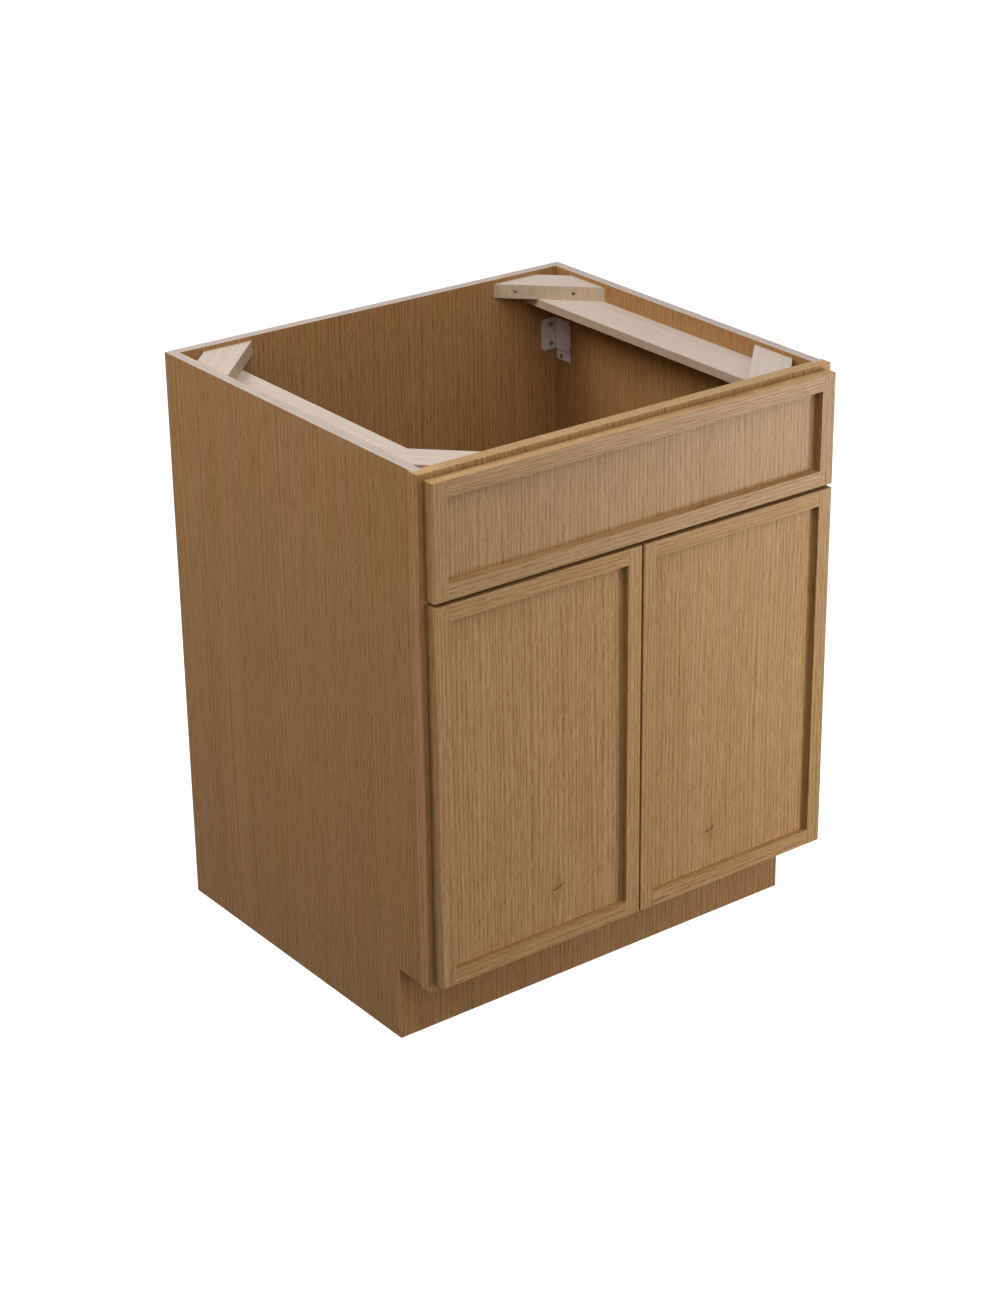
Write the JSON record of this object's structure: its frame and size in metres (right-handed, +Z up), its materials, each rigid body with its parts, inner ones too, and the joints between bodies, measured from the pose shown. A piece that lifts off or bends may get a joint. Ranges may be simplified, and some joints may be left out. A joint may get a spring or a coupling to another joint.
{
  "type": "sink base cabinet",
  "caption": "Framed oak sink base cabinet with an open braced top, a false drawer front, two hinged slim-frame panel doors and a recessed toe space.",
  "frame": {"origin": "on the floor under the middle of the closed cabinet's overall box", "axes": "+Z up, +Y towards the wall behind, doors face -Y, +X to the right seen from the front"},
  "size_m": [0.7176, 0.6432, 0.8763],
  "materials": {
    "oak_veneer": "clear satin lacquer over oak veneer plywood",
    "oak_solid": "clear satin lacquer over solid oak",
    "pale_wood": "unfinished pale hardwood and plywood",
    "bracket_paint": "light grey powder coat",
    "hinge_nickel": "nickel plated steel",
    "bumper": "soft clear plastic"
  },
  "bodies": {
    "cabinet": {"back_panel": "oak_veneer", "brace_back_left": "pale_wood", "brace_back_right": "pale_wood", "brace_front_left": "pale_wood", "brace_front_right": "pale_wood", "false_front_bottom_rail": "oak_solid", "false_front_left_stile": "oak_solid", "false_front_panel": "oak_veneer", "false_front_right_stile": "oak_solid", "false_front_spacers": "bumper", "false_front_top_rail": "oak_solid", "floor_panel": "oak_veneer", "frame_bottom_rail": "oak_solid", "frame_left_stile": "oak_solid", "frame_middle_rail": "oak_solid", "frame_right_stile": "oak_solid", "frame_top_rail": "oak_solid", "left_corner_bracket": "bracket_paint", "left_lower_hinge_arm": "hinge_nickel", "left_side_panel": "oak_veneer", "left_side_rail": "pale_wood", "left_upper_hinge_arm": "hinge_nickel", "right_corner_bracket": "bracket_paint", "right_lower_hinge_arm": "hinge_nickel", "right_side_panel": "oak_veneer", "right_side_rail": "pale_wood", "right_upper_hinge_arm": "hinge_nickel", "toe_board": "oak_veneer"},
    "left_door": {"left_door_bottom_rail": "oak_solid", "left_door_bumpers": "bumper", "left_door_left_stile": "oak_solid", "left_door_panel": "oak_veneer", "left_door_right_stile": "oak_solid", "left_door_top_rail": "oak_solid", "left_hinge_pins": "hinge_nickel", "left_lower_hinge_cup": "hinge_nickel", "left_upper_hinge_cup": "hinge_nickel"},
    "right_door": {"right_door_bottom_rail": "oak_solid", "right_door_bumpers": "bumper", "right_door_left_stile": "oak_solid", "right_door_panel": "oak_veneer", "right_door_right_stile": "oak_solid", "right_door_top_rail": "oak_solid", "right_hinge_pins": "hinge_nickel", "right_lower_hinge_cup": "hinge_nickel", "right_upper_hinge_cup": "hinge_nickel"}
  },
  "joints": [
    {"name": "left_door_hinge", "type": "hinge", "parent": "cabinet", "child": "left_door", "pos_m": [-0.34487, -0.3101, 0.4094], "axis": [0, 0, -1], "range_deg": [0, 95]},
    {"name": "right_door_hinge", "type": "hinge", "parent": "cabinet", "child": "right_door", "pos_m": [0.34487, -0.3101, 0.4094], "axis": [0, 0, 1], "range_deg": [0, 95]}
  ]
}
